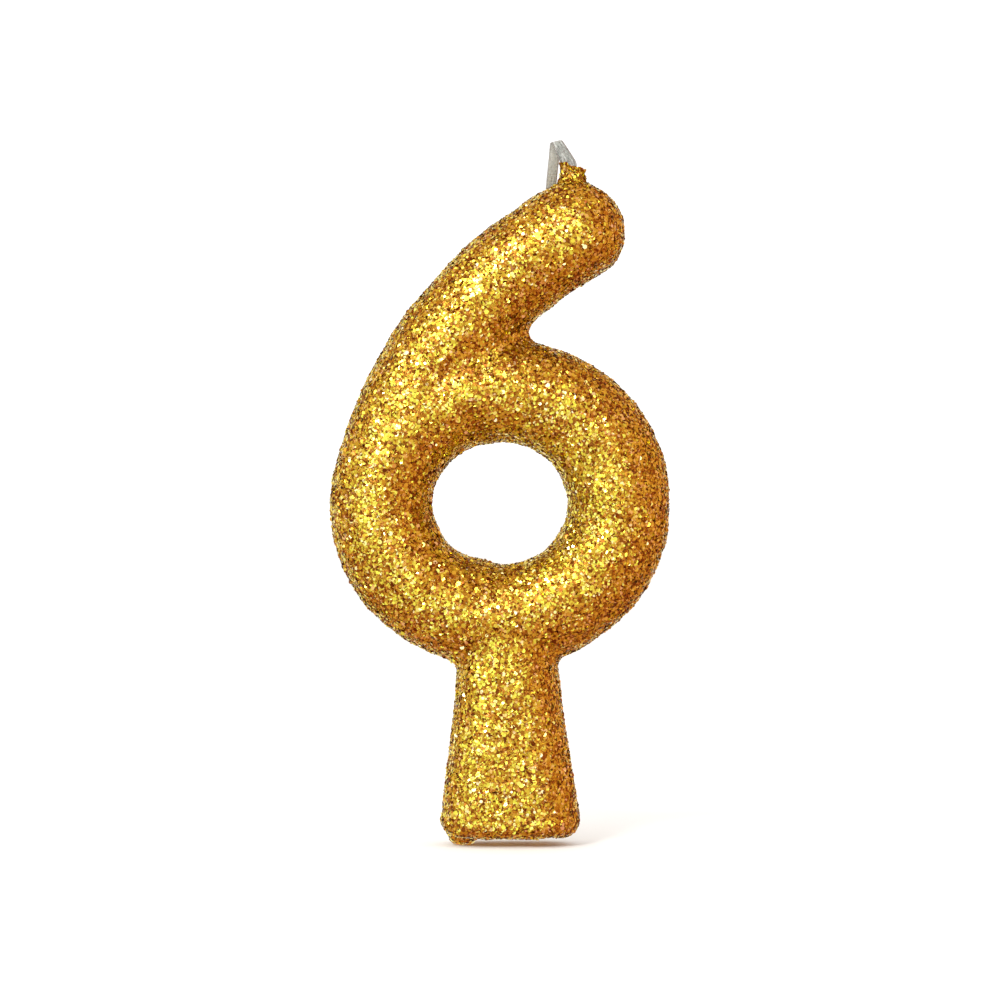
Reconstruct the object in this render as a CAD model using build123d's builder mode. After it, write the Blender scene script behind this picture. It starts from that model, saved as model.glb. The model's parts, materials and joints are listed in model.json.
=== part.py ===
"""Numeral 6 birthday candle: a moulded wax digit on a flared stem, dipped in tack and glitter.

Frame: +Z is up, the digit is read from -Y, and the origin is the middle of the foot's flat underside.
Units are millimetres. Every layer and every fitting piece is worked out from the sizes below.
"""
from math import copysign, cos, radians, sin, tan
import os

from build123d import *

# ---------------------------------------------------------------- moulded wax digit
stroke_width = 11.7        # across the stroke, in the digit's plane
stroke_depth = 10.6        # front to back
spine_slimming = 0.1       # the upper stroke is this much thinner on every side
bowl_width = 40.7          # outside of the bowl, left to right
bowl_height = 39.2         # outside of the bowl, bottom to top
bowl_offset = -1.3         # bowl's middle, to the side of the foot's middle
spine_start = 14.0         # degrees round the bowl, from its left side, where the upper stroke leaves it
spine_radius = 47.0        # the upper stroke's centreline
spine_turn = 47.5          # degrees
crotch_fillet = 1.5        # where the upper stroke leaves the bowl
stem_height = 20.6         # foot's underside to the underside of the bowl
neck_width = 11.2          # stem where it meets the bowl
neck_depth = 9.4
neck_offset = -0.5         # neck's middle, to the side of the foot's middle
neck_fillet = 1.5          # where the stem meets the bowl
foot_width = 16.5          # stem at its flared foot
foot_depth = 10.4
foot_edge = 1.7            # rounding of the foot's lower edge
stem_corner = 4.2          # rounding of the stem's four upright edges

# ---------------------------------------------------------------- dipped layers
tack_thickness = 0.15      # dyed adhesive wax that holds the glitter
glitter_thickness = 0.30   # bed of overlapping glitter flakes

# ---------------------------------------------------------------- wick, a flat ribbon folded once
wick_width = 1.2
wick_thickness = 0.60
wick_wax = 0.14            # clear priming wax over the cotton braid
wick_edge = 0.12           # rounding of the ribbon's long edges
wick_start = 4.0           # buried lower end, above the wax foot's underside
wick_tightness = 0.8       # radius of the wick's long bends, as a share of the stroke's own
wick_turn = 2.6            # radius of its sharp turns into the stem and out of the stroke
wick_offset = -0.62        # where it leaves the wax, to the right of the upper stroke's end centre
wick_exit = 0.3            # buried run's upper end, below the collar's rim
leg_length = 2.79          # free leg, from its bend to the crease
leg_lean = 32.0            # degrees from upright, to the left
tail_length = 5.85         # crease to cut end
crease_slope = 13.5        # degrees above level
fold_angle = 161.0         # degrees the tail is folded back from straight
hinge_gap = 0.03           # free space at the wick's bend and at its crease
fold_gap = 0.02            # crease's hinge line, behind the leg's back face

# ---------------------------------------------------------------- collar and drip
collar_offset = -0.25      # collar's middle, to the right of the upper stroke's end centre
collar_width = 2.7         # lump of coat gathered round the wick's root
collar_depth = 2.3
collar_pinch = 0.30        # how much narrower it is at its waist
collar_flare = 0.7         # how much wider it is at its root
collar_height = 2.1        # above the upper stroke's outside
collar_waist = 0.9         # its narrowest place, above the same
collar_root = 1.2          # how far its flank runs down, to meet the stroke's fall
collar_corner = 0.4
collar_groove = 0.15       # room round the wick's bend, where it breaks the rim
drip_width = 3.4           # bead of coat set under the foot
drip_drop = 0.95           # how far it hangs below the foot
drip_left = 5.86           # to the left of the foot's middle
drip_front = 0.6           # in front of it

# ---------------------------------------------------------------- derived places
coat_thickness = tack_thickness + glitter_thickness
half_width = stroke_width / 2
half_depth = stroke_depth / 2
ring_x = bowl_width / 2 - half_width          # bowl's centreline, half its width
ring_z = bowl_height / 2 - half_width         # and half its height
bowl_z = coat_thickness + stem_height + bowl_height / 2
ring_left = Vector(bowl_offset - ring_x, 0, bowl_z)
ring_bottom = bowl_z - ring_z

# the bowl's oval is four tangent quarter turns: two at the sides, two at the top and bottom
eighth = cos(radians(45))
oval = eighth**2 - (1 - eighth) ** 2
side_radius = (eighth * ring_z - (1 - eighth) * ring_x) / oval
top_radius = (eighth * ring_x - (1 - eighth) * ring_z) / oval


def way(heading):
    """Unit vector in the digit's plane; heading is in degrees from upright, to the right."""
    return Vector(sin(radians(heading)), 0, cos(radians(heading)))


def turned(start, heading, radius, turn):
    """End of an arc that bends to the right from a start point and heading."""
    centre = start + way(heading + 90) * radius
    return centre - way(heading + turn + 90) * radius


spine_foot = turned(ring_left, 0, side_radius, spine_start)
tip_heading = spine_start + spine_turn
tip = turned(spine_foot, spine_start, spine_radius, spine_turn)
collar_x = tip.X + collar_offset
collar_base = tip.Z + half_width - spine_slimming + coat_thickness
collar_top = collar_base + collar_height
wick_x = tip.X + wick_offset
wick_top = collar_top - wick_exit
bend = Vector(wick_x, 0, wick_top + hinge_gap + wick_width / 2)
crease = bend + way(-leg_lean) * leg_length
crease_way = Vector(cos(radians(crease_slope)), 0, sin(radians(crease_slope)))
crease_skew = leg_lean - crease_slope         # degrees between the crease and the ribbon's width
hinge_y = wick_thickness / 2 + fold_gap


def stroke_arc(start, heading, radius, turn, wide, deep):
    """One arc of a stroke that bends to the right: an oval section turned about the arc's centre."""
    section = Plane(start, x_dir=way(heading + 90), z_dir=way(heading))
    with BuildPart() as arc:
        with BuildSketch(section):
            Ellipse(wide, deep)
        revolve(axis=Axis(start + section.x_dir * radius, (0, 1, 0)), revolution_arc=turn)
    return arc.part


def bowl(wide, deep):
    """The closed ring of the bowl: four quarter turns, clockwise from the lower left."""
    start = turned(ring_left, 0, side_radius, -45)
    heading = -45
    with BuildPart() as ring:
        for radius in (side_radius, top_radius, side_radius, top_radius):
            add(stroke_arc(start, heading, radius, 90, wide, deep))
            start = turned(start, heading, radius, 90)
            heading += 90
    return ring.part


def spine(wide, deep):
    """The upper stroke of the 6, from the bowl's left side to its round end."""
    with BuildPart() as stroke:
        add(stroke_arc(spine_foot, spine_start, spine_radius, spine_turn, wide, deep))
        with BuildSketch(Plane(tip, x_dir=way(tip_heading + 90), z_dir=way(tip_heading))):
            Ellipse(wide, deep)
            Rectangle(2 * wide, 4 * deep, align=(Align.MIN, Align.CENTER), mode=Mode.SUBTRACT)
        revolve(axis=Axis(tip, (0, 1, 0)), revolution_arc=180)
    return stroke.part


def stem(grow):
    """The stem, flared from the neck to the foot, and run on upwards into the bowl's stroke."""
    flare = (foot_width - neck_width) / stem_height
    top_width = neck_width - flare * (ring_bottom - coat_thickness - stem_height)
    with BuildPart() as flared:
        with BuildSketch(Plane.XY.offset(coat_thickness - grow)):
            RectangleRounded(foot_width + 2 * grow, foot_depth + 2 * grow, stem_corner + grow)
        with BuildSketch(Plane((neck_offset, 0, ring_bottom))):
            RectangleRounded(top_width + 2 * grow, neck_depth + 2 * grow, stem_corner + grow)
        loft()
        fillet(flared.edges().group_by(Axis.Z)[0], foot_edge + grow)
    return flared.part


def digit(grow):
    """The digit on its stem, grown outwards by a layer's thickness, with its inner corners filled."""
    wide = half_width + grow
    deep = half_depth + grow
    with BuildPart() as body:
        add(bowl(wide, deep))
        add(spine(wide - spine_slimming, deep - spine_slimming))
        fillet(body.edges(Select.NEW).sort_by(Axis.X)[-2:], crotch_fillet)
        add(stem(grow))
        fillet(body.edges(Select.NEW), neck_fillet)
    return body.part


def buried_ribbon(inset):
    """The wick's run inside the wax, up into the collar: a flat ribbon swept along its route."""
    low_side = ring_left - Vector(0, 0, ring_z * tan(radians(22.5)))
    low_base = Vector(bowl_offset - ring_x * tan(radians(22.5)), 0, ring_bottom)
    high_side = ring_left + Vector(0, 0, side_radius * tan(radians(spine_start / 2)))
    mid_spine = spine_foot + way(spine_start) * spine_radius * tan(radians(spine_turn / 2))
    ring_bend = wick_tightness * min(side_radius, top_radius)
    spine_bend = wick_tightness * spine_radius
    start = Vector(0, 0, coat_thickness + wick_start)
    with BuildPart() as ribbon:
        with BuildLine() as route:
            FilletPolyline(
                start,
                (0, 0, ring_bottom),
                low_base,
                low_side,
                high_side,
                mid_spine,
                (wick_x, 0, tip.Z),
                (wick_x, 0, wick_top),
                radius=(wick_turn, ring_bend, ring_bend, ring_bend, spine_bend, wick_turn),
            )
        with BuildSketch(Plane(start)):
            if inset:
                Rectangle(wick_width - 2 * inset, wick_thickness - 2 * inset)
            else:
                RectangleRounded(wick_width, wick_thickness, wick_edge)
        sweep(path=route.wires()[0])
    return ribbon.part


def free_ribbon(plane, length, inset):
    """A free length of the wick, cut off along its crease, which is the plane's X axis.

    A positive length is the tail, above the crease, and a negative one is the leg, with its round end.
    """
    overrun = copysign(wick_width, length)
    margin = copysign(hinge_gap / 2 + inset, length)
    beyond = (Align.CENTER, Align.MAX if length > 0 else Align.MIN)
    way_along = Vector(0, 1).rotate(Axis.Z, crease_skew)
    with BuildPart() as ribbon:
        with BuildSketch(plane):
            with Locations(way_along * (length - overrun) / 2):
                Rectangle(wick_width - 2 * inset, abs(length) + wick_width, rotation=crease_skew)
            if length < 0:
                with Locations(way_along * length):
                    Circle(wick_width / 2 - inset)
            with Locations((0, margin)):
                Rectangle(3 * wick_width, 3 * wick_width, align=beyond, mode=Mode.SUBTRACT)
        extrude(amount=wick_thickness / 2 - inset, both=True)
        if not inset:
            edge_way = Axis(crease, plane.from_local_coords(way_along) - plane.origin)
            fillet(ribbon.edges().filter_by(edge_way), wick_edge)
    return ribbon.part


# ---------------------------------------------------------------- the digit and its two dipped layers
core_shape = digit(0)
tack_shape = digit(tack_thickness)
coat_shape = digit(coat_thickness)
primed_wick = buried_ribbon(0)
cotton_wick = buried_ribbon(wick_wax)

with BuildPart() as bead:
    with BuildSketch(Plane((-drip_left, -drip_front, 0), x_dir=(1, 0, 0), z_dir=(0, -1, 0))):
        with BuildLine():
            Line((0, -drip_drop), (0, coat_thickness + foot_edge))
            Line((0, coat_thickness + foot_edge), (drip_width / 2, coat_thickness + foot_edge))
            Line((drip_width / 2, coat_thickness + foot_edge), (drip_width / 2, 0))
            EllipticalCenterArc((0, 0), drip_width / 2, drip_drop, start_angle=270, arc_size=90)
        make_face()
    revolve(axis=Axis((-drip_left, -drip_front, 0), (0, 0, 1)))

with BuildPart() as wax_core:
    add(core_shape)
    add(primed_wick, mode=Mode.SUBTRACT)

with BuildPart() as tack_coat:
    add(tack_shape)
    add(core_shape, mode=Mode.SUBTRACT)
    add(primed_wick, mode=Mode.SUBTRACT)

with BuildPart() as glitter_coat:
    add(coat_shape)
    add(tack_shape, mode=Mode.SUBTRACT)
    add(primed_wick, mode=Mode.SUBTRACT)
    add(bead.part, mode=Mode.SUBTRACT)

with BuildPart() as foot_drip:
    add(bead.part)
    add(tack_shape, mode=Mode.SUBTRACT)

# ---------------------------------------------------------------- the lump of coat round the wick's root
with BuildPart() as wick_collar:
    for height, grow in ((-collar_root, collar_flare), (collar_waist, -collar_pinch), (collar_height, 0)):
        with BuildSketch(Plane((collar_x, 0, collar_base + height))):
            RectangleRounded(collar_width + grow, collar_depth + grow, collar_corner)
    loft(ruled=True)
    with BuildSketch(Plane(bend, x_dir=(1, 0, 0), z_dir=(0, -1, 0))):
        Circle(wick_width / 2 + collar_groove)
    extrude(amount=collar_depth, both=True, mode=Mode.SUBTRACT)
    add(coat_shape, mode=Mode.SUBTRACT)
    add(primed_wick, mode=Mode.SUBTRACT)

# ---------------------------------------------------------------- the wick: buried run, leg and folded tail
with BuildPart() as wick_stem_cotton:
    add(cotton_wick)

with BuildPart() as wick_stem_wax:
    add(primed_wick)
    add(cotton_wick, mode=Mode.SUBTRACT)

back = Vector(0, 1, 0)
tail_face = way(-crease_slope) * sin(radians(fold_angle)) - back * cos(radians(fold_angle))
leg_plane = Plane(crease, x_dir=crease_way, z_dir=-back)
tail_plane = Plane(crease + back * hinge_y, x_dir=crease_way, z_dir=tail_face).offset(hinge_y)

with BuildPart() as wick_leg_cotton:
    add(free_ribbon(leg_plane, -leg_length, wick_wax))

with BuildPart() as wick_leg_wax:
    add(free_ribbon(leg_plane, -leg_length, 0))
    add(wick_leg_cotton.part, mode=Mode.SUBTRACT)

with BuildPart() as wick_tail_cotton:
    add(free_ribbon(tail_plane, tail_length, wick_wax))

with BuildPart() as wick_tail_wax:
    add(free_ribbon(tail_plane, tail_length, 0))
    add(wick_tail_cotton.part, mode=Mode.SUBTRACT)

# ---------------------------------------------------------------- one file for each piece
pieces = {
    "wax_core": wax_core,
    "tack_coat": tack_coat,
    "glitter_coat": glitter_coat,
    "foot_drip": foot_drip,
    "wick_collar": wick_collar,
    "wick_stem_cotton": wick_stem_cotton,
    "wick_stem_wax": wick_stem_wax,
    "wick_leg_cotton": wick_leg_cotton,
    "wick_leg_wax": wick_leg_wax,
    "wick_tail_cotton": wick_tail_cotton,
    "wick_tail_wax": wick_tail_wax,
}
os.makedirs("parts", exist_ok=True)
for name, piece in pieces.items():
    piece.part.label = name
    export_step(piece.part, f"parts/{name}.step")

print("wick bend", [round(v, 3) for v in bend])
print("wick crease line", [round(v, 3) for v in crease + back * hinge_y])
print("crease direction", [round(v, 4) for v in crease_way])
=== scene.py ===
# %% [markdown]
# # A glittered numeral candle
# This is a small wax six on a stem, dipped in sticky amber wax and rolled in gold film flakes. The CAD model
# gives the wax, the layers, the wick's places and the two bends of the wick. This lesson dresses it: a lumpy
# bed of tack and glitter dust, tens of thousands of hexagonal flakes that lie on it, the torn collar of coat
# at the wick's root, and the primed cotton wick itself. Everything is in metres, in the CAD model's frame:
# the six is read from -Y, and +Z is up.

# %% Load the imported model
import json
from math import cos, pi, radians, sin, sqrt, tau

import bpy
import bmesh
import numpy as np
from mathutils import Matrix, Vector


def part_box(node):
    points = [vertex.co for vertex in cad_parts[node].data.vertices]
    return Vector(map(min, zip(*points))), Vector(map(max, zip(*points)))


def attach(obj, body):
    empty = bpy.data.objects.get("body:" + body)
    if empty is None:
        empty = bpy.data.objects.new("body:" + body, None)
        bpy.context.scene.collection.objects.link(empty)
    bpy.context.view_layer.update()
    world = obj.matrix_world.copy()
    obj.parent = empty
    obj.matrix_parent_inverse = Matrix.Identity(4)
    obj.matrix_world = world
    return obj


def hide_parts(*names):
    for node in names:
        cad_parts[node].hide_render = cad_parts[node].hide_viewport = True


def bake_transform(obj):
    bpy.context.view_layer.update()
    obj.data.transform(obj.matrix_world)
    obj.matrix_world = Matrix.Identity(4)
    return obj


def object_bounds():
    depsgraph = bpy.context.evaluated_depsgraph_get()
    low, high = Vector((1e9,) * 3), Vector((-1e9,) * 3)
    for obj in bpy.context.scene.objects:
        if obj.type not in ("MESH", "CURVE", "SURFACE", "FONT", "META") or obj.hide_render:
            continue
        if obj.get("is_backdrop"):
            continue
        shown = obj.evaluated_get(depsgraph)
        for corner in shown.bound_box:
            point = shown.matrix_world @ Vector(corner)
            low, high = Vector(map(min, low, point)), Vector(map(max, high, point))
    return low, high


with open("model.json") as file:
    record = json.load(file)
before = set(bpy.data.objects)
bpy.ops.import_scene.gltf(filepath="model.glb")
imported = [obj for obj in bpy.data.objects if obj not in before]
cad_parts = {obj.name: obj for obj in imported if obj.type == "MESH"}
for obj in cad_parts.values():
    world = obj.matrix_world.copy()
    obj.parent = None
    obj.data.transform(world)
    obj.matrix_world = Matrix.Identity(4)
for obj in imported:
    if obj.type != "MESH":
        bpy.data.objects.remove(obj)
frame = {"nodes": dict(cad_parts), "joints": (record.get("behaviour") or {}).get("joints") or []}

cad_low, cad_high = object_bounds()
mm = 0.001
print("CAD box, mm:", [round(v / mm, 2) for v in (*cad_low, *cad_high)])

# %% [markdown]
# ## The camera
# A product shot of a flat thing is taken from straight in front with a long lens, so that its outline stays
# true. The camera stands level with the candle's middle, far enough back for a field about 1.4 times the
# candle's height.

# %% Make the camera
field = 122 * mm            # width of the picture where the candle stands
camera_drop = 1.0 * mm      # the middle of the picture is this far below the candle's middle
middle = (cad_low + cad_high) / 2

camera_data = bpy.data.cameras.new("camera")
camera_data.lens = 135
camera_distance = field * camera_data.lens / camera_data.sensor_width
camera_data.clip_start = 10 * mm
camera = bpy.data.objects.new("camera", camera_data)
camera.location = (middle.x, -camera_distance, middle.z - camera_drop)
camera.rotation_euler = (pi / 2, 0, 0)
bpy.context.scene.collection.objects.link(camera)
bpy.context.scene.camera = camera
print("camera stands back, mm:", round(camera_distance / mm))

# %% [markdown]
# ## Tools for finishes
# Colours are chosen as sRGB hex codes, the way a paint chart gives them, but shaders add light up in linear
# values. One function does that sum for every colour, and one function adds any node with its settings and
# its links, so a material reads like a recipe.

# %% Colours and nodes
def linear(code):
    """A hex sRGB colour as linear red, green, blue and alpha: ((c + 0.055) / 1.055) ** 2.4 above 0.04045."""
    parts = np.array([int(code[i:i + 2], 16) for i in (1, 3, 5)]) / 255
    bright = ((parts + 0.055) / 1.055) ** 2.4
    return (*np.where(parts > 0.04045, bright, parts / 12.92), 1.0)


def add(tree, kind, inputs=(), **settings):
    """Adds one shader node. settings are its properties, and inputs are values or other nodes' sockets."""
    node = tree.nodes.new("ShaderNode" + kind)
    for name, value in settings.items():
        setattr(node, name, value)
    for name, value in dict(inputs).items():
        if isinstance(value, bpy.types.NodeSocket):
            tree.links.new(value, node.inputs[name])
        else:
            node.inputs[name].default_value = value
    return node


def finish(name, inputs):
    """A new material: its node tree and its Principled shader, with these inputs set."""
    material = bpy.data.materials.new(name)
    material.use_nodes = True
    shader = material.node_tree.nodes["Principled BSDF"]
    for key, value in inputs.items():
        shader.inputs[key].default_value = value
    return material, material.node_tree, shader


def ramp(tree, factor, stops, blend="LINEAR"):
    """A colour ramp over factor, from (place, hex colour) stops. Returns its colour socket."""
    node = add(tree, "ValToRGB", {"Fac": factor})
    node.color_ramp.interpolation = blend
    for place, code in stops[2:]:
        node.color_ramp.elements.new(place)
    for element, (place, code) in zip(node.color_ramp.elements, sorted(stops)):
        element.position = place
        element.color = linear(code)
    return node.outputs["Color"]


# %% [markdown]
# ## The coat's bed
# Under the flakes lies a bed: amber tack with glitter dust pressed into it. Its shape is the CAD digit's own
# outside, so it is made from the CAD pieces. They are merged into one mesh and voxel remeshed, which fuses
# the layers into a single closed skin of even small faces. A dipped coat is never quite even, so the skin
# then gets gentle lumps from sums of sine waves, and a soft mound where the coat gathered, at the lower left
# of the eye.

# %% Fuse the digit's layers into one skin
coat_nodes = ("wax_core", "tack_coat", "glitter_coat", "foot_drip", "wick_stem_wax", "wick_stem_cotton")
voxel = 0.30 * mm
weld = 0.001 * mm           # corners nearer than this are the same corner


def evaluated(thing):
    """The thing's mesh with its modifiers worked out, as a new mesh."""
    graph = bpy.context.evaluated_depsgraph_get()
    return bpy.data.meshes.new_from_object(thing.evaluated_get(graph))


def fused(name, nodes, top):
    """One closed skin round these CAD nodes: their merged triangles, cut level at top, voxel remeshed."""
    gathered = bmesh.new()
    for node in nodes:
        gathered.from_mesh(frame["nodes"][node].data)
    bmesh.ops.remove_doubles(gathered, verts=gathered.verts, dist=weld)
    everything = [*gathered.verts, *gathered.edges, *gathered.faces]
    level = {"plane_co": (0, 0, top), "plane_no": (0, 0, 1)}
    bmesh.ops.bisect_plane(gathered, geom=everything, clear_outer=True, **level)
    bmesh.ops.holes_fill(gathered, edges=[edge for edge in gathered.edges if edge.is_boundary])
    mesh = bpy.data.meshes.new(name)
    gathered.to_mesh(mesh)
    gathered.free()
    skin = bpy.data.objects.new(name, mesh)
    bpy.context.scene.collection.objects.link(skin)
    remesh = skin.modifiers.new("fuse", "REMESH")
    remesh.mode = "VOXEL"
    remesh.voxel_size = voxel
    remesh.use_smooth_shade = True
    skin.data = evaluated(skin)
    skin.modifiers.clear()
    return skin


wick_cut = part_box("glitter_coat")[1].z + 0.05 * mm      # the wick is cut off flush with the coat
bed = fused("coat_bed", coat_nodes, wick_cut)
print("bed faces:", len(bed.data.polygons))


# %% Lump the skin
def numbers(items, name, width, kind=np.float64):
    """One property of every item of a mesh, as rows of numbers."""
    found = np.empty(len(items) * width, kind)
    items.foreach_get(name, found)
    return found.reshape(-1, width) if width > 1 else found


def waves(points, length, seed, count=24):
    """Smooth noise near 0: the mean of sine waves of about one length, with random ways and starts."""
    random = np.random.default_rng(seed)
    ways = random.normal(size=(count, 3))
    ways *= (tau / length * random.uniform(0.7, 1.3, count) / np.linalg.norm(ways, axis=1))[:, None]
    return np.sin(points @ ways.T + random.uniform(0, tau, count)).mean(1) * sqrt(2 * count) / 2


def mound(points, place, radius):
    """A soft hill: exp(-(distance / radius) ** 2)."""
    return np.exp(-((points - np.array(place)) ** 2).sum(1) / radius**2)


bed_inset = 0.13 * mm       # room for the flakes that lie on the bed
lumps = (0.10 * mm, 6.0 * mm), (0.06 * mm, 2.2 * mm)        # how high and how long each set of waves is
gathered_at = Vector((middle.x - 2.4 * mm, 0, cad_low.z + 35.6 * mm))
gathered_height, gathered_radius = 0.55 * mm, 2.2 * mm

points = numbers(bed.data.vertices, "co", 3)
normals = numbers(bed.data.vertex_normals, "vector", 3)
swell = -bed_inset
for seed, (height, length) in enumerate(lumps, 1):
    swell = swell + height * waves(points, length, seed)
swell += gathered_height * mound(points, gathered_at, gathered_radius)
points += normals * swell[:, None]
bed.data.vertices.foreach_set("co", points.ravel())
bed.data.update()
print("lumps, mm:", round(float(swell.min() / mm), 2), "to", round(float(swell.max() / mm), 2))

# %% [markdown]
# The bed's finish is a dyed adhesive wax full of glitter dust. Seen between flakes it is dark amber, half
# metal, with a fine grain: dust grit is about 0.1 mm, drawn a little coarser so that it shows.

# %% Finish the bed
dust_grain = 0.16 * mm
tack_dust, tree, shader = finish("amber tack wax with glitter dust", {"Metallic": 0.75, "Roughness": 0.42})
place = add(tree, "TexCoord").outputs["Object"]
grit = add(tree, "TexVoronoi", {"Vector": place, "Scale": 1 / dust_grain})
shade = add(tree, "SeparateColor", {"Color": grit.outputs["Color"]}).outputs["Red"]
colour = ramp(tree, shade, [(0.0, "#5A2A08"), (0.35, "#9A5A14"), (0.75, "#C8862A"), (1.0, "#F0C050")])
tree.links.new(colour, shader.inputs["Base Color"])
bump = add(tree, "Bump", {"Height": grit.outputs["Distance"], "Strength": 0.5, "Distance": 0.05 * mm})
tree.links.new(bump.outputs["Normal"], shader.inputs["Normal"])
bed.data.materials.append(tack_dust)
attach(bed, "candle")
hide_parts("glitter_coat", "foot_drip")
print("bed's finish:", tack_dust.name)

# %% [markdown]
# ## The collar
# Where the wick comes out, the dip gathered and tore when the candle was pulled off its hanger. It is a lump
# with a squarish outline, a waist, a ragged rim and a hollow top that the wick bends out of. One surface does
# it: angle round the wick, and a way up the outside, over the rim and down into the hollow.

# %% Close a grid of points into a tube
def tube_faces(rows, columns):
    """Quads of a grid that closes round its columns, and a fan at each end to two last points."""
    row, column = np.meshgrid(np.arange(rows - 1), np.arange(columns), indexing="ij")
    right = (column + 1) % columns
    near, next_row = row * columns, (row + 1) * columns
    sides = [near + column, near + right, next_row + right, next_row + column]
    here = np.arange(columns)
    beside = np.roll(here, -1)
    far = (rows - 1) * columns
    first = np.stack([beside, here, np.full(columns, rows * columns)], 1)
    last = np.stack([here + far, beside + far, np.full(columns, rows * columns + 1)], 1)
    return np.stack(sides, -1).reshape(-1, 4).tolist() + first.tolist() + last.tolist()


def tube(name, grid):
    """A closed object from a grid of points, rows by columns by 3, with a middle point added at each end."""
    rows, columns = grid.shape[:2]
    points = np.vstack([grid.reshape(-1, 3), grid[0].mean(0), grid[-1].mean(0)])
    mesh = bpy.data.meshes.new(name)
    mesh.from_pydata(points, [], tube_faces(rows, columns))
    mesh.shade_smooth()
    thing = bpy.data.objects.new(name, mesh)
    bpy.context.scene.collection.objects.link(thing)
    return thing


# %% Make the collar
collar_low, collar_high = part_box("wick_collar")
squareness = 3.4            # the power of its outline: 2 is an ellipse, and more is squarer
rim_place = 0.6             # the share of the way along its surface at which the rim comes
waist, root_flare = 0.10, 0.15          # how much narrower and wider it is there, as shares of its size
rim_tilt = 0.27             # the rim falls to the right by this share of the way across
rim_rise = 0.12 * mm        # how far the rim's left end stands above the plain lump
rim_rag = 0.05 * mm
hollow_depth = 0.55 * mm
bump_spread = 0.16          # how far a bump reaches up and down, as a share of the lump's height
crumb_height, crumb_length = 0.06 * mm, 0.9 * mm


def bump_at(angle, height, centre, level, breadth, depth):
    """A soft bump at one angle and one height of a lump: exp of minus both distances squared."""
    turn = (angle - centre + pi) % tau - pi
    return depth * np.exp(-(turn / breadth) ** 2 - ((height - level) / bump_spread) ** 2)


def collar_surface(rows=54, columns=110):
    """A squarish lump that ends in a torn rim and a hollow.

    along runs from the root (0) up the outside to the rim, then down into the hollow (1). The outline is a
    superellipse, |x| ** squareness + |y| ** squareness = 1, and bumps and a waist change its size.
    """
    ways = np.linspace(0, 1, rows), np.linspace(0, tau, columns, endpoint=False)
    along, angle = np.meshgrid(*ways, indexing="ij")
    outside = np.clip(along / rim_place, 0, 1)
    inside = np.clip((along - rim_place) / (1 - rim_place), 0, 1)
    x, y = np.cos(angle), np.sin(angle)
    size = (np.abs(x) ** squareness + np.abs(y) ** squareness) ** (-1 / squareness)
    size *= 1 - waist * np.sin(pi * np.clip(outside * 1.2 - 0.15, 0, 1)) + root_flare * (1 - outside) ** 3
    size += bump_at(angle, outside, 0.0, 0.98, 0.42, 0.10)          # upper right horn
    size += bump_at(angle, outside, 0.1, 0.50, 0.25, 0.14)          # spike under it
    size -= bump_at(angle, outside, pi, 0.74, 0.5, 0.13)            # notch on the left
    size *= (1 - inside) ** 0.7
    half = (collar_high - collar_low) / 2
    centre = (collar_low + collar_high) / 2
    across = centre.x + half.x * size * x
    deep = half.y * size * y
    ragged = rim_rag * (np.sin(5 * angle + 0.7) + np.sin(9 * angle + 2.0)) * outside**6
    rim = collar_high.z + rim_rise - rim_tilt * (across - collar_low.x) + ragged
    height = collar_low.z + (rim - collar_low.z) * outside - hollow_depth * inside**0.6
    points = np.stack([across, deep, height], -1)
    rough = [waves(points.reshape(-1, 3), crumb_length, seed) for seed in (11, 12, 13)]
    return points + crumb_height * np.stack(rough, -1).reshape(points.shape)


collar = tube("collar_bed", collar_surface())
collar.data.materials.append(tack_dust)
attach(collar, "candle")
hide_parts("wick_collar")
print("collar points:", len(collar.data.vertices))

# %% [markdown]
# ## The flakes
# Craft glitter is metallised film cut into hexagons, here mostly the fine cut, about 0.3 mm across, with a
# share of the next cut up, about 0.5 mm. Each flake is a flat mirror that lies nearly along the surface and
# tips its own way, and that is what glitters. So flakes are real geometry: a hexagon with a shallow point
# underneath, ten triangles in all, placed by area and turned as whole arrays.

# %% Draw places on a mesh
def drawn(thing, count, random):
    """Random places on a mesh, even by area, and its smooth normals there.

    A triangle is drawn by its share of the area. Inside it the point is (1 - r) a + r (1 - s) b + r s c,
    with r the square root of one random number and s another.
    """
    mesh = thing.data
    mesh.calc_loop_triangles()
    corners = numbers(mesh.loop_triangles, "vertices", 3, np.int32)
    area = numbers(mesh.loop_triangles, "area", 1)
    places, normals = numbers(mesh.vertices, "co", 3), numbers(mesh.vertex_normals, "vector", 3)
    chosen = corners[random.choice(len(area), count, p=area / area.sum())]
    r, s = np.sqrt(random.random(count)), random.random(count)
    weights = np.stack([1 - r, r * (1 - s), r * s], 1)[:, :, None]
    normal = (normals[chosen] * weights).sum(1)
    return (places[chosen] * weights).sum(1), normal / np.linalg.norm(normal, axis=1)[:, None]


def unit(rows):
    """Each row scaled to length 1."""
    return rows / np.linalg.norm(rows, axis=1)[:, None]


# %% Turn places into flakes
flake_depth = 0.05 * mm     # film is thinner, and this much still shows an edge


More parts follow.
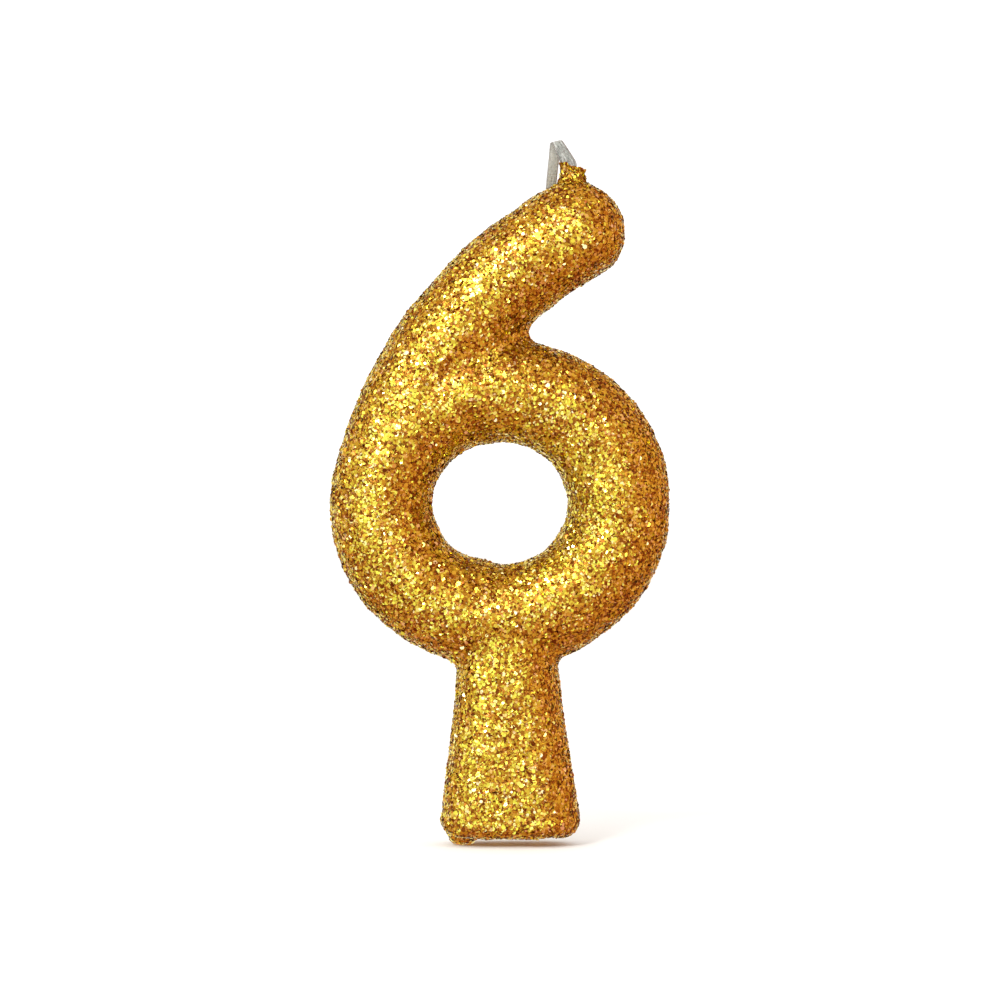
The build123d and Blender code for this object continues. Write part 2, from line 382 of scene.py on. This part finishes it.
def flake_points(places, normals, across, tilt, lift, random):
    """Seven points a flake: six round its rim, at across / sqrt(3) from the middle, and one underneath.

    A flake that would go into the floor under the drip is lifted onto it.
    """
    count = len(places)
    loose = random.normal(size=(count, 3))
    lean = unit(loose - (loose * normals).sum(1)[:, None] * normals)
    up = unit(normals + lean * np.tan(tilt)[:, None])
    side = unit(np.cross(up, random.normal(size=(count, 3))))
    front = np.cross(up, side)
    corner = np.arange(6) * tau / 6
    reach = (across / sqrt(3))[:, None, None]
    rim = np.cos(corner)[:, None] * side[:, None] + np.sin(corner)[:, None] * front[:, None]
    centre = places + normals * lift[:, None]
    under = centre - up * flake_depth
    points = np.concatenate([centre[:, None] + reach * rim, under[:, None]], 1)
    points[..., 2] += np.maximum(cad_low.z - points[..., 2].min(1), 0)[:, None]
    return points


def flake_cells(count):
    """Each flake's corners on its own cell of a square sheet: top at the left, sides to the right."""
    across = int(np.ceil(np.sqrt(count)))
    cell = np.stack([np.arange(count) % across, np.arange(count) // across], 1)
    corner = np.arange(6) * tau / 6
    rim = np.stack([np.cos(corner) * 0.2, np.sin(corner) * 0.4], 1)
    top = rim + (0.25, 0.5)
    sides = np.stack([np.roll(rim, -1, 0), rim, np.zeros((6, 2))], 1).reshape(-1, 2) + (0.75, 0.5)
    return ((cell[:, None] + np.vstack([top, sides])) / across).reshape(-1, 2)


def flakes(name, places, normals, across, tilt, lift, random, amber=1.0):
    """One object of many flakes, with a random shade and gloss number for each flake.

    The shade is a random number to the power amber, so that above 1 more flakes are dark.
    """
    count = len(places)
    points = flake_points(places, normals, across, tilt, lift, random).reshape(-1, 3)
    step = np.arange(6)
    one = np.concatenate([step, np.stack([np.roll(step, -1), step, np.full(6, 6)], 1).ravel()])
    corners = (np.arange(count)[:, None] * 7 + one).ravel()
    starts = (np.arange(count)[:, None] * 24 + np.array([0, *range(6, 24, 3)])).ravel()
    mesh = bpy.data.meshes.new(name)
    mesh.vertices.add(len(points))
    mesh.vertices.foreach_set("co", points.ravel())
    mesh.loops.add(len(corners))
    mesh.loops.foreach_set("vertex_index", corners)
    mesh.polygons.add(len(starts))
    mesh.polygons.foreach_set("loop_start", starts)
    mesh.update(calc_edges=True)
    mesh.shade_flat()
    for attribute, power in (("film_shade", amber), ("film_gloss", 1)):
        layer = mesh.attributes.new(attribute, "FLOAT", "POINT")
        layer.data.foreach_set("value", np.repeat(random.random(count) ** power, 7))
    mesh.uv_layers.new(name="OFBake").uv.foreach_set("vector", flake_cells(count).ravel())
    thing = bpy.data.objects.new(name, mesh)
    bpy.context.scene.collection.objects.link(thing)
    return thing


# %% [markdown]
# The film is aluminised polyester with a gold lacquer. Lacquer is never one shade: most flakes are yellow
# gold, some deep amber, a few nearly silver where the lacquer is thin. Metal keeps the default IOR, and the
# gloss differs from flake to flake.

# %% Finish the flakes
film, tree, shader = finish("gold lacquered metallised film", {"Metallic": 1.0})
lacquer = add(tree, "Attribute", attribute_name="film_shade").outputs["Fac"]
gold = [(0.0, "#683618"), (0.14, "#945A20"), (0.32, "#BE942E"), (0.58, "#DACA44"), (0.82, "#EEE45C"),
        (0.95, "#FAEC96"), (1.0, "#FFF6CC")]
tree.links.new(ramp(tree, lacquer, gold), shader.inputs["Base Color"])
gloss = add(tree, "Attribute", attribute_name="film_gloss").outputs["Fac"]
rough = add(tree, "MapRange", {"Value": gloss, "To Min": 0.16, "To Max": 0.42}).outputs["Result"]
tree.links.new(rough, shader.inputs["Roughness"])
print("flakes' finish:", film.name, "with", len(gold), "shades of lacquer")

# %% Lay the flakes on the digit
fine_cut, next_cut = (0.25, 0.38), 0.50         # flake sizes, mm
next_share, steep_share = 0.10, 0.06            # how many are the next cut up, and how many stand steeply


def loose_lie(count, spread, random):
    """Each flake's size, its tilt and its lift off the bed. spread is the usual tilt in degrees."""
    across = np.where(random.random(count) < next_share, next_cut * mm, random.uniform(*fine_cut, count) * mm)
    tilt = np.abs(random.normal(0, radians(spread), count))
    steep = random.uniform(radians(25), radians(50), count)
    tilt = np.where(random.random(count) < steep_share, steep, tilt)
    return across, tilt, random.uniform(-0.02, 0.08, count) * mm


def lay(name, thing, count, seed, spread, amber=1.0):
    """Flakes all over a thing, finished as film and fixed to the candle."""
    random = np.random.default_rng(seed)
    places, normals = drawn(thing, count, random)
    laid = flakes(name, places, normals, *loose_lie(count, spread, random), random, amber)
    laid.data.materials.append(film)
    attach(laid, "candle")


flake_sheets = 7
flakes_a_sheet = 18500
for sheet in range(flake_sheets):
    lay(f"flakes_{sheet + 1}", bed, flakes_a_sheet, 100 + sheet, spread=17)
print("flakes:", flake_sheets * flakes_a_sheet)

# %% Lay the collar's own flakes
collar_flakes = 1300        # these lie more roughly than the digit's, and more of them are dark
# amber=1.5 makes more of the collar's flakes dark: a painted shade on the collar
lay("flakes_collar", collar, collar_flakes, 200, spread=32, amber=1.5)
print("flakes on the collar:", collar_flakes)

# %% [markdown]
# ## The wick
# The wick is a flat cotton braid primed with clear wax: the wax shows as a grey, glassy sleeve with the plies
# in it. It is folded back once, on a slant. A ribbon folds as paper does: it stays flat except near one
# crease line, where it turns round a small cylinder. So each layer is first a straight tube with a flat oval
# section, drawn along the leg's line, and then one formula carries every point round the crease.

# %% Read the wick's places off the CAD model
joints = {joint["name"]: joint for joint in frame["joints"]}
bend = np.array(joints["wick_lean"]["pos_m"])
crease = np.array(joints["wick_unfold"]["pos_m"])
crease_way = np.array(joints["wick_unfold"]["axis"])
fold_angle = radians(joints["wick_unfold"]["range_deg"][1])
leg_low, leg_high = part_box("wick_leg_wax")
wick_width = 2 * (bend[2] - leg_low.z)
wick_thickness = leg_high.y - leg_low.y
leg = (crease - bend) * (1, 0, 1)
leg_length = np.linalg.norm(leg)
leg_way = leg / leg_length
rise = np.array([-crease_way[2], 0, crease_way[0]])         # up from the crease, along the ribbon's face
wick_sizes = wick_width, wick_thickness, leg_length
print("wick's width, thickness and leg, mm:", [round(size / mm, 2) for size in wick_sizes])


# %% Carry points along the leg and round the crease
bend_reach = 0.25 * mm      # the lower bend is spread over this length each way
bend_drop = 0.42 * mm       # it lies this far below the joint, inside the collar
crease_squeeze = 0.22       # the crease is pinched to this share of a round turn's height
crease_radius = crease[1]


def along_leg(along, across, through):
    """Points of the unfolded ribbon: along its line from the bend, across its width, through its thickness.

    The line's lean from upright grows as a smoothstep, 3 t**2 - 2 t**3, over the bend, and its points are the
    running sum of its direction, shifted to end on the CAD leg's line.
    """
    t = np.clip(((along + bend_drop) / bend_reach + 1) / 2, 0, 1)
    lean = np.arctan2(leg_way[0], leg_way[2]) * (3 * t**2 - 2 * t**3)
    way = np.stack([np.sin(lean), 0 * lean, np.cos(lean)], -1)
    side = np.stack([np.cos(lean), 0 * lean, -np.sin(lean)], -1)
    step = np.diff(along, prepend=along[:1], axis=0)[..., None]
    line = np.cumsum(way * step, axis=0)
    line += bend + leg_way * along[-1, 0] - line[-1, 0]
    return line + side * across[..., None] + np.array([0, 1, 0]) * through[..., None]


def round_crease(points):
    """Points above the crease turn about its line: rise = q r sin(a), depth = R - r cos(a), a = distance / R.

    R is the crease line's depth behind the ribbon's middle, r a point's own distance from it, and q the
    squeeze. Past the fold angle the ribbon runs straight on, down and back.
    """
    above = ((points - crease) @ rise)[..., None]
    turned = np.clip(above / crease_radius, 0, fold_angle)
    beyond = np.maximum(above - crease_radius * fold_angle, 0)
    radius = crease_radius - points[..., 1:2]
    foot = points - above * rise
    lifted = crease_squeeze * radius * np.sin(turned) + beyond * np.cos(turned)
    depth = crease_radius - radius * np.cos(turned) + beyond * np.sin(turned)
    folded = foot * (1, 0, 1) + lifted * rise + depth * np.array([0, 1, 0])
    return np.where(above > 0, folded, points)


# %% Make the wick's layers
plies = 5
ply_relief = 0.035 * mm
plait_pitch = 0.42 * mm
flatness = 5, 2.6           # the powers of its section: more is squarer
soaked_swell = 1.08         # its width against the plain ribbon's
root_spread = 0.66, 0.06    # near its root the ribbon is wider on its left and right by these shares
root_run = 2.0 * mm
crease_pinch = 0.13         # the ribbon is gathered to be this much narrower at the crease
pinch_run = 0.9 * mm
tail_shift = 0.12 * mm      # past the crease it lies this far to the right of the leg's line
uneven_width, uneven_depth, uneven_length = 0.03 * mm, 0.02 * mm, 1.6 * mm
upright = abs(leg_way @ rise)                               # how much the ribbon rises for its length
crease_run = crease_radius * fold_angle / upright
tail_way = rise * cos(fold_angle) * upright + crease_way * (leg_way @ crease_way)
tail_length = (crease[2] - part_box("wick_tail_wax")[0].z) / abs(tail_way[2])
free_length = leg_length + crease_run + tail_length


def ribbon(name, low, high, width, thickness, relief, seed, rows, columns=72):
    """A layer of the wick from low to high along its line.

    Its section is a flat superellipse, |x / half width| ** 5 + |y / half thickness| ** 2.6 = 1. relief is how
    far its plies stand out: across it they are |sin(plies)|, and a slant in the plait's phase makes its V.
    """
    ways = np.linspace(low, high, rows), np.linspace(0, tau, columns, endpoint=False)
    along, angle = np.meshgrid(*ways, indexing="ij")
    x, y = np.cos(angle), -np.sin(angle)
    x = np.sign(x) * np.abs(x) ** (2 / flatness[0])
    y = np.sign(y) * np.abs(y) ** (2 / flatness[1])
    ply = np.abs(np.sin(pi * (plies * x / 2 + 0.5))) - 0.6
    plait = np.sin(tau * along / plait_pitch + 2.2 * np.abs(x) * np.sign(y))
    line = np.stack([along, 0 * along, seed * mm + 0 * along], -1).reshape(-1, 3)
    uneven = 0.5 * waves(line, uneven_length, seed).reshape(along.shape)
    spread = soaked_swell + np.where(x < 0, *root_spread) * np.exp(-(along / root_run) ** 2)
    spread -= crease_pinch * np.exp(-((along - leg_length - crease_run / 2) / pinch_run) ** 2)
    shifted = tail_shift * np.clip(along / leg_length - 1, 0, 1)
    across = x * (width / 2 * spread + uneven_width * uneven) + shifted
    through = y * (thickness / 2 + relief * (ply + 0.6 * plait) + uneven_depth * uneven)
    layer = tube(name, round_crease(along_leg(along, across, through)))
    for attribute, values in (("wick_along", along / mm), ("wick_across", x)):
        field = layer.data.attributes.new(attribute, "FLOAT", "POINT")
        field.data.foreach_set("value", np.append(values, [0, 0]))
    return layer


wick_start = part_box("wick_stem_wax")[1].z - bend[2] - 0.05 * mm
wick_middle = bend_reach + 0.03 * mm
cotton_inset = 0.13 * mm
cotton_gap = 0.01 * mm      # the braid ends this far inside its wax
wax_relief = 0.4 * ply_relief           # the wax half fills the grooves between plies
wax_size = wick_width, wick_thickness
cotton_size = wick_width - 2 * cotton_inset, wick_thickness - 2 * cotton_inset
layers = []
stretches = ("lower", wick_start, wick_middle, 60), ("upper", wick_middle, free_length, 240)
for part, low, high, rows in stretches:
    layers.append(ribbon(f"wick_wax_{part}", low, high, *wax_size, wax_relief, 31, rows))
    low, high = low + cotton_gap, high - cotton_gap
    layers.append(ribbon(f"wick_cotton_{part}", low, high, *cotton_size, ply_relief, 32, rows))
print("wick's free length and tail, mm:", round(free_length / mm, 2), round(tail_length / mm, 2))

# %% [markdown]
# Priming wax is clear paraffin, so the sleeve lets light through. Its edges are painted darker in its colour,
# a painted shade for the dark rim a glass rod shows, and the cotton's edges get a lighter painted shade.
# Bleached cotton is matt, off-white and slightly grey where wax has soaked it, and paler towards its end.

# %% Finish the wick
def wick_tone(tree, stops, edge):
    """Long streaks, each about a fifth of the width and 3 mm long, painted shade darkening the edges, and a
    paler tail.
    """
    along = add(tree, "Attribute", attribute_name="wick_along").outputs["Fac"]
    across = add(tree, "Attribute", attribute_name="wick_across").outputs["Fac"]
    wide = add(tree, "Math", {0: across, 1: 2.4}, operation="MULTIPLY").outputs[0]
    long = add(tree, "Math", {0: along, 1: 0.45}, operation="MULTIPLY").outputs[0]
    place = add(tree, "CombineXYZ", {"X": wide, "Y": long}).outputs[0]
    streaks = {"Vector": place, "Scale": 1.5, "Detail": 2.0, "Roughness": 0.5}
    streak = add(tree, "TexNoise", streaks).outputs["Fac"]
    # painted shade: towards the ribbon's edges the tone is mixed with dark grey, by up to edge
    off_centre = add(tree, "Math", {0: across}, operation="ABSOLUTE").outputs[0]
    rim = add(tree, "MapRange", {"Value": off_centre, "From Min": 0.70, "To Max": edge}).outputs["Result"]
    bleached = {"Value": along, "From Min": 2.0, "From Max": 5.5, "To Max": 0.3}        # from and to, in mm
    tail = add(tree, "MapRange", bleached).outputs["Result"]
    tone = ramp(tree, streak, stops)
    tone = add(tree, "Mix", {0: tail, 6: tone, 7: linear("#F2EEE2")}, data_type="RGBA").outputs[2]
    return add(tree, "Mix", {0: rim, 6: tone, 7: linear("#55524E")}, data_type="RGBA").outputs[2]


wax_streaks = [(0.36, "#686A66"), (0.45, "#ACB0A8"), (0.52, "#807C78"), (0.62, "#C2C4BE")]
primed = {"Roughness": 0.48, "IOR": 1.44, "Transmission Weight": 0.25}
clear_wax, tree, shader = finish("clear priming wax", primed)
# 0.85 for the wax and 0.5 for the cotton: how much painted shade darkens the edges
tree.links.new(wick_tone(tree, wax_streaks, 0.85), shader.inputs["Base Color"])

cotton_streaks = [(0.36, "#74766F"), (0.50, "#BEC2B8"), (0.64, "#E2E4DA")]
fluffy = {"Roughness": 0.85, "Sheen Weight": 0.3}
cotton, tree, shader = finish("bleached cotton braid", fluffy)
tree.links.new(wick_tone(tree, cotton_streaks, 0.5), shader.inputs["Base Color"])
print("wick's finishes:", clear_wax.name, "and", cotton.name)

# %% [markdown]
# ## The wick's layers
# The lower layers already bend where the wick leaves the collar, and the upper layers already turn round the
# crease, where the leg and the tail lie back to back. Each layer gets its finish, the CAD pieces it replaces
# are hidden, and its place is baked into its points.

# %% Finish the wick's layers and hide the CAD pieces they replace
for layer in layers:
    kind = "wax" if "wax" in layer.name else "cotton"
    layer.data.materials.append(clear_wax if kind == "wax" else cotton)
    if "lower" in layer.name:
        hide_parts(f"wick_leg_{kind}")
        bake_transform(layer)
    else:
        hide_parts(f"wick_tail_{kind}")
        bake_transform(layer)
    print(layer.name, "has", len(layer.data.vertices), "corners")

# %% [markdown]
# ## What lies inside
# The CAD model keeps the wax casting, the tack layer and the wick's buried run, which the coat hides. They
# get their own finishes too, since someone may take the candle apart.

# %% Finish the inner pieces
def clouded(name, inputs, cloud_size, stops):
    """A wax with soft clouds of this size in its colour, and its shader."""
    material, tree, shader = finish(name, inputs)
    place = add(tree, "TexCoord").outputs["Object"]
    cloud = add(tree, "TexNoise", {"Vector": place, "Scale": 1 / cloud_size}).outputs["Fac"]
    tree.links.new(ramp(tree, cloud, stops), shader.inputs["Base Color"])
    return material, shader


paraffin, shader = clouded("moulded paraffin wax", {"Roughness": 0.38, "IOR": 1.44, "Subsurface Weight": 0.4},
                           6 * mm, [(0.3, "#F1E2B8"), (0.7, "#FBF3DC")])
shader.inputs["Subsurface Radius"].default_value = (2.5 * mm, 1.8 * mm, 1.2 * mm)
tack, _ = clouded("amber tack wax", {"Roughness": 0.30, "IOR": 1.46, "Coat Weight": 0.4},
                  3 * mm, [(0.3, "#7A430C"), (0.7, "#B06A18")])
buried_wax, _ = clouded("clear priming wax, buried", primed | {"Roughness": 0.30},
                        0.8 * mm, [(0.3, "#A6AAA4"), (0.7, "#D6D8D0")])

buried_cotton, tree, shader = finish("bleached cotton braid, buried", fluffy)
strand_bands = {"Vector": add(tree, "TexCoord").outputs["Object"], "Scale": 1 / (2.4 * mm), "Distortion": 3.0}
strands = add(tree, "TexWave", strand_bands, bands_direction="DIAGONAL").outputs["Fac"]
tree.links.new(ramp(tree, strands, [(0.0, "#B8B4A6"), (1.0, "#E8E4D8")]), shader.inputs["Base Color"])

hidden = {"wax_core": paraffin, "tack_coat": tack,
          "wick_stem_wax": buried_wax, "wick_stem_cotton": buried_cotton}
for node, material in hidden.items():
    thing = frame["nodes"][node]
    thing.data.materials.clear()
    thing.data.materials.append(material)
    print(node, "is", material.name)

# %% [markdown]
# ## Floor and light
# A plain white floor, and surroundings that the camera sees as white. A gold flake shows whatever it faces,
# so what the flakes see is the real light here, and it is made by direction: white behind the camera and
# behind the candle, warm and dimmer at the sides, above and below. That gives the strokes their bright
# middles and brown flanks. One small bright lamp, up and to the left, makes the sparkle.

# %% Make the floor
bpy.context.scene.view_settings.view_transform = "Standard"
floor_reach = 6.0           # metres, so its edges are out of sight
corners = [(x * floor_reach, y * floor_reach, cad_low.z) for x, y in ((-1, -1), (1, -1), (1, 1), (-1, 1))]
floor_mesh = bpy.data.meshes.new("floor")
floor_mesh.from_pydata(corners, [], [(0, 1, 2, 3)])
floor = bpy.data.objects.new("floor", floor_mesh)
bpy.context.scene.collection.objects.link(floor)
paper, tree, shader = finish("matt white paper", {"Base Color": linear("#F6F5F2"), "Roughness": 0.9})
floor.data.materials.append(paper)
floor.visible_glossy = False
floor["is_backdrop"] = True
print("floor at, mm:", round(cad_low.z / mm, 2))


# %% Hang the key lamp
def lamp(name, place, target, size, power):
    """A square soft box that faces a point."""
    data = bpy.data.lights.new(name, "AREA")
    data.shape = "SQUARE"
    data.size = size
    data.energy = power
    thing = bpy.data.objects.new(name, data)
    thing.location = place
    thing.rotation_euler = (Vector(target) - Vector(place)).to_track_quat("-Z", "Y").to_euler()
    bpy.context.scene.collection.objects.link(thing)
    return thing


key = lamp("key", middle + Vector((-0.22, -0.50, 0.30)), middle, 0.15, 2.0)
print("key lamp's place, m:", [round(v, 2) for v in key.location])


# %% Light the room by direction
world = bpy.data.worlds.new("studio")
bpy.context.scene.world = world
world.use_nodes = True
tree = world.node_tree
seen = add(tree, "LightPath")
way = add(tree, "TexCoord").outputs["Generated"]


def lobe(toward, widest, narrowest):
    """How near a direction is to one way: 0 past the widest angle from it, 1 inside the narrowest.

    Both angles are in degrees. Between them the share is a smoothstep of the angle's cosine.
    """
    both = {0: way, 1: Vector(toward).normalized()}
    near = add(tree, "VectorMath", both, operation="DOT_PRODUCT").outputs["Value"]
    edges = {"Value": near, "From Min": cos(radians(widest)), "From Max": cos(radians(narrowest))}
    return add(tree, "MapRange", edges, interpolation_type="SMOOTHSTEP").outputs["Result"]


def blended(share, first, second):
    """Two colours mixed by share. Each is a socket, or a hex colour with its brightness."""
    ends = [end if isinstance(end, bpy.types.NodeSocket) else [end[1] * part for part in linear(end[0])]
            for end in (first, second)]
    return add(tree, "Mix", {0: share, 6: ends[0], 7: ends[1]}, data_type="RGBA").outputs[2]


walls = blended(lobe((-1, 0, 0), 130, 50), ("#DC9F82", 1.42), ("#EAB294", 1.15))     # right, then left
warm_and_white = (
    ((0, 0, 1), 90, 30, "#DEA284", 1.15),               # above
    ((0, 0, -1), 100, 30, "#CC866A", 1.20),             # below
    ((-0.25, 0.97, 0), 70, 25, "#FFFFFF", 1.35),        # behind the candle
    ((-0.48, -0.87, 0.06), 60, 12, "#F4FFF2", 1.45),    # behind the camera, to its left
)
for toward, widest, narrowest, code, bright in warm_and_white:
    walls = blended(lobe(toward, widest, narrowest), walls, (code, bright))
rays = {0: seen.outputs["Is Camera Ray"], 1: seen.outputs["Is Diffuse Ray"]}
matt_or_seen = add(tree, "Math", rays, operation="ADD").outputs[0]
colour = blended(matt_or_seen, walls, ("#FFFFFF", 1.2))
tree.links.new(colour, tree.nodes["Background"].inputs["Color"])
print("directions with a light of their own:", 2 + len(warm_and_white))

# %% Measure the finished scene's bounds
low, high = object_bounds()
